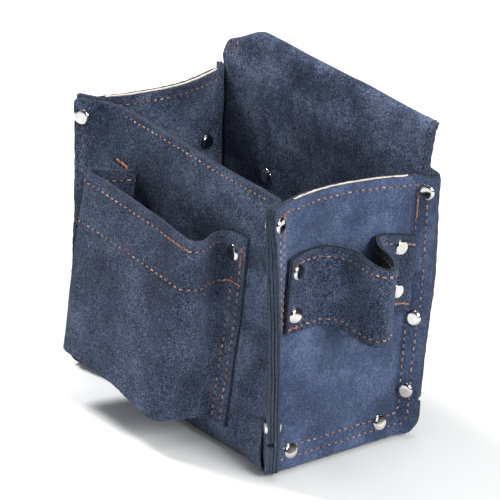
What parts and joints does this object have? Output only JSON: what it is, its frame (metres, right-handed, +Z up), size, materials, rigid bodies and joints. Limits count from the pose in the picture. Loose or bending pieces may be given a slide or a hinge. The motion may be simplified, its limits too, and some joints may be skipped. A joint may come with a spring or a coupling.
{
  "type": "tool pouch",
  "caption": "Open-topped leather tool pouch with a patch pocket on the front, a tool loop on each side and a rolled belt tunnel behind.",
  "frame": {"origin": "centre of the underside, on the plane the pouch rests on", "axes": "+Z up; -Y is the front with the patch pocket; +Y is the wearer's side with the belt tunnel; +X is the right side seen from the wearer's side facing forward, which is the right of the front view"},
  "size_m": [0.271, 0.1539, 0.1947],
  "materials": {
    "suede": "split suede, fuzzy nap, dull",
    "lining": "split suede, dull",
    "board": "pressed fibre board, matt",
    "nickel": "polished nickel plate"
  },
  "bodies": {
    "pouch": {"outer_wrap": "suede", "wrap_lining": "lining", "right_side_outer": "suede", "right_side_stiffener": "board", "right_side_lining": "lining", "right_tool_loop": "suede", "left_side_outer": "suede", "left_side_stiffener": "board", "left_side_lining": "lining", "left_tool_loop": "suede", "pocket_left_side": "suede", "pocket_right_side": "suede", "pocket_bottom": "suede", "rivet_front_right_top": "nickel", "rivet_front_right_low": "nickel", "rivet_back_right_top": "nickel", "rivet_back_right_mid": "nickel", "rivet_back_right_low": "nickel", "rivet_bottom_right_front": "nickel", "rivet_bottom_right_back": "nickel", "rivet_right_loop_front_top": "nickel", "rivet_right_loop_front_low": "nickel", "rivet_right_loop_back_top": "nickel", "rivet_right_loop_back_low": "nickel", "rivet_front_left_top": "nickel", "rivet_front_left_low": "nickel", "rivet_back_left_top": "nickel", "rivet_back_left_mid": "nickel", "rivet_back_left_low": "nickel", "rivet_bottom_left_front": "nickel", "rivet_bottom_left_back": "nickel", "rivet_left_loop_front_top": "nickel", "rivet_left_loop_front_low": "nickel", "rivet_left_loop_back_top": "nickel", "rivet_left_loop_back_low": "nickel", "rivet_pocket_left": "nickel", "rivet_pocket_right": "nickel", "rivet_tunnel_left": "nickel", "rivet_tunnel_right": "nickel"},
    "pocket_wall": {"pocket_front": "suede"}
  },
  "joints": [
    {"name": "pocket_mouth", "type": "hinge", "parent": "pouch", "child": "pocket_wall", "pos_m": [-0.0145, -0.0885, 0.0205], "axis": [1, 0, 0], "range_deg": [0, 5], "stiffness_Nm_per_rad": 0.05}
  ]
}
